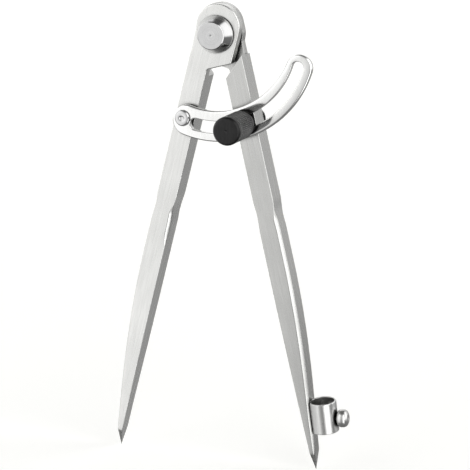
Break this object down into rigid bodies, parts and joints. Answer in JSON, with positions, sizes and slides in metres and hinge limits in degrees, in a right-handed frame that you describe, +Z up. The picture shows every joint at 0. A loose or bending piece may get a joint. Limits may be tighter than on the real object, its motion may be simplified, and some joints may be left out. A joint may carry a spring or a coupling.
{
  "type": "wing compass",
  "caption": "Steel wing compass with pointed legs on a half-lap hinge, a slotted arc with a knurled clamp knob, and a pencil tube with a thumb screw.",
  "frame": {"origin": "centre of the hinge between the two legs, at half the legs' depth", "axes": "+Z up with the legs' points down, -Y the front with the conical rivet head and the clamp knob, +X towards the leg with the pencil tube"},
  "size_m": [0.1102, 0.0391, 0.2074],
  "materials": {
    "satin_steel": "forged steel legs, ground flat and satin nickel plated",
    "polished_chrome": "polished and chrome plated steel",
    "blackened_steel": "turned, straight knurled and blackened steel",
    "bronze": "plain rolled bronze"
  },
  "bodies": {
    "left_leg": {"left_leg": "satin_steel", "hinge_rivet": "polished_chrome", "friction_washer": "bronze", "rear_washer": "polished_chrome", "wing_arc": "polished_chrome", "arc_rivet": "polished_chrome"},
    "right_leg": {"right_leg": "satin_steel", "clamp_bolt": "blackened_steel", "pencil_tube": "polished_chrome", "holder_rivet": "polished_chrome"},
    "clamp_collar": {"clamp_collar": "blackened_steel"},
    "clamp_knob": {"clamp_knob": "blackened_steel"},
    "pencil_screw": {"pencil_screw": "polished_chrome"}
  },
  "joints": [
    {"name": "leg_hinge", "type": "hinge", "parent": "left_leg", "child": "right_leg", "pos_m": [0, 0, 0], "axis": [0, -1, 0], "range_deg": [-27.4, 51.5]},
    {"name": "collar_slide", "type": "slide", "parent": "right_leg", "child": "clamp_collar", "axis": [0, -1, 0], "range_m": [0, 0.00161]},
    {"name": "knob_turn", "type": "hinge", "parent": "clamp_collar", "child": "clamp_knob", "pos_m": [0.01409, 0, -0.03781], "axis": [0, -1, 0], "range_deg": [0, 720]},
    {"name": "screw_travel", "type": "slide", "parent": "right_leg", "child": "pencil_screw", "axis": [0.9941, 0, 0.1089], "range_m": [0, 0.0028]}
  ],
  "couplings": [
    {"joint": "collar_slide", "follows": "knob_turn", "m_per_rad": 0.00012732}
  ]
}
